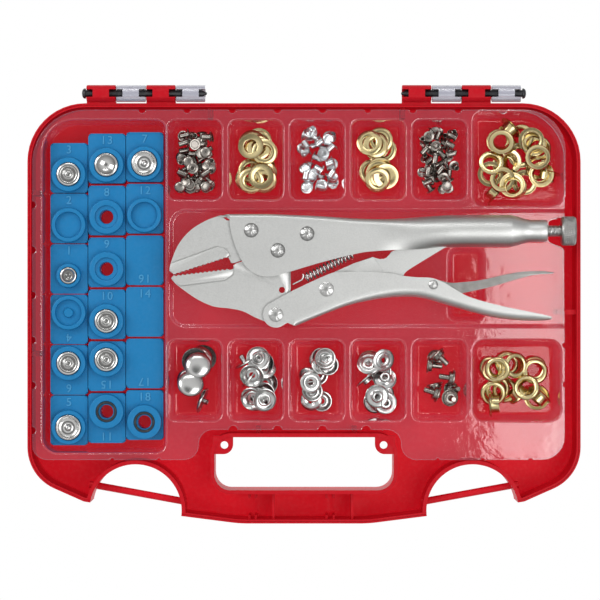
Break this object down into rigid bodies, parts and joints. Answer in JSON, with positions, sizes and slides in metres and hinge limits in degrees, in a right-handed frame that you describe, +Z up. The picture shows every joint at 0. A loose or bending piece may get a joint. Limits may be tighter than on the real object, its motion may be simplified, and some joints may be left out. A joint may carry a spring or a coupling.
{
  "type": "grommet setter",
  "caption": "Locking pliers with interchangeable setting dies, snaps, eyelets and rivets, lying in the clear tray of a red carry case with a moulded grip.",
  "frame": {"origin": "centre of the carry case's flat underside", "axes": "+X to the right along the case's long side, +Y from the grip towards the hinges, +Z up out of the open case"},
  "size_m": [0.343, 0.2719, 0.0468],
  "materials": {
    "red_plastic": "moulded, semi-gloss",
    "clear_sheet": "vacuum-formed clear sheet, glossy",
    "black_plastic": "moulded, satin",
    "blue_plastic": "moulded, satin",
    "satin_nickel": "satin nickel plate over forged and pressed steel",
    "bright_nickel": "bright nickel plate",
    "brass_plate": "bright brass plate"
  },
  "bodies": {
    "case": {"case_shell": "red_plastic", "tray": "clear_sheet", "hinge_pin_left": "black_plastic", "hinge_pin_right": "black_plastic", "die_03": "blue_plastic", "die_insert_03": "bright_nickel", "die_02": "blue_plastic", "die_01": "blue_plastic", "die_insert_01": "bright_nickel", "die_04": "blue_plastic", "die_06": "blue_plastic", "die_insert_06": "bright_nickel", "die_05": "blue_plastic", "die_insert_05": "bright_nickel", "die_13": "blue_plastic", "die_insert_13": "bright_nickel", "die_08": "blue_plastic", "die_09": "blue_plastic", "die_10": "blue_plastic", "die_insert_10": "bright_nickel", "die_15": "blue_plastic", "die_insert_15": "bright_nickel", "die_11": "blue_plastic", "die_07": "blue_plastic", "die_insert_07": "bright_nickel", "die_12": "blue_plastic", "die_16": "blue_plastic", "die_14": "blue_plastic", "die_17": "blue_plastic", "die_18": "blue_plastic", "small_rivets": "bright_nickel", "brass_washers": "brass_plate", "tubular_rivets": "bright_nickel", "brass_rings": "brass_plate", "short_posts": "bright_nickel", "brass_eyelets": "brass_plate", "snap_caps": "bright_nickel", "cap_posts": "bright_nickel", "snap_sockets": "bright_nickel", "snap_studs": "bright_nickel", "long_posts": "bright_nickel", "brass_grommets": "brass_plate"},
    "lid_knuckle_left_a": {"lid_knuckle_left_a": "clear_sheet"},
    "lid_knuckle_left_b": {"lid_knuckle_left_b": "clear_sheet"},
    "lid_knuckle_right_a": {"lid_knuckle_right_a": "clear_sheet"},
    "lid_knuckle_right_b": {"lid_knuckle_right_b": "clear_sheet"},
    "pliers": {"fixed_jaw": "satin_nickel", "fixed_handle": "satin_nickel", "jaw_rivet_front": "bright_nickel", "jaw_rivet_rear": "bright_nickel", "jaw_pivot_rivet": "bright_nickel", "tension_spring": "bright_nickel"},
    "moving_jaw": {"moving_jaw": "satin_nickel"},
    "lever": {"lever_handle": "satin_nickel", "lever_pivot_rivet": "bright_nickel", "link_pin": "bright_nickel", "release_pin": "bright_nickel"},
    "toggle_link": {"toggle_link": "satin_nickel"},
    "release_lever": {"release_lever": "satin_nickel"},
    "adjusting_screw": {"adjusting_screw": "bright_nickel"}
  },
  "joints": [
    {"name": "pliers_lift", "type": "slide", "parent": "case", "child": "pliers", "axis": [0, 0, 1], "range_m": [0, 0.12]},
    {"name": "jaw_pivot", "type": "hinge", "parent": "pliers", "child": "moving_jaw", "pos_m": [-0.0161, 0.0255, 0.0369], "axis": [0, 0, 1], "range_deg": [0, 15], "deforming": ["tension_spring"]},
    {"name": "lever_pivot", "type": "hinge", "parent": "moving_jaw", "child": "lever", "pos_m": [-0.0173, -0.014, 0.0369], "axis": [0, 0, 1], "range_deg": [-54, 0]},
    {"name": "link_pivot", "type": "hinge", "parent": "lever", "child": "toggle_link", "pos_m": [0.0139, 0.0016, 0.0369], "axis": [0, 0, 1], "range_deg": [0, 57]},
    {"name": "release_pivot", "type": "hinge", "parent": "lever", "child": "release_lever", "pos_m": [0.0795, 0.0044, 0.0369], "axis": [0, 0, 1], "range_deg": [-8, 0], "stiffness_Nm_per_rad": 0.4},
    {"name": "screw_turn", "type": "hinge", "parent": "pliers", "child": "adjusting_screw", "pos_m": [0.15, 0.0376, 0.0369], "axis": [1, 0, 0], "continuous": true},
    {"name": "lid_hinge_left_a", "type": "hinge", "parent": "case", "child": "lid_knuckle_left_a", "pos_m": [-0.0977, 0.123, 0.03], "axis": [1, 0, 0], "range_deg": [0, 180]},
    {"name": "lid_hinge_left_b", "type": "hinge", "parent": "case", "child": "lid_knuckle_left_b", "pos_m": [-0.0977, 0.123, 0.03], "axis": [1, 0, 0], "range_deg": [0, 180]},
    {"name": "lid_hinge_right_a", "type": "hinge", "parent": "case", "child": "lid_knuckle_right_a", "pos_m": [0.0977, 0.123, 0.03], "axis": [1, 0, 0], "range_deg": [0, 180]},
    {"name": "lid_hinge_right_b", "type": "hinge", "parent": "case", "child": "lid_knuckle_right_b", "pos_m": [0.0977, 0.123, 0.03], "axis": [1, 0, 0], "range_deg": [0, 180]}
  ],
  "couplings": [
    {"joint": "jaw_pivot", "follows": "lever_pivot", "ratio": -0.27778},
    {"joint": "link_pivot", "follows": "lever_pivot", "ratio": -1.0556},
    {"joint": "lid_hinge_left_b", "follows": "lid_hinge_left_a", "ratio": 1},
    {"joint": "lid_hinge_right_a", "follows": "lid_hinge_left_a", "ratio": 1},
    {"joint": "lid_hinge_right_b", "follows": "lid_hinge_left_a", "ratio": 1}
  ]
}
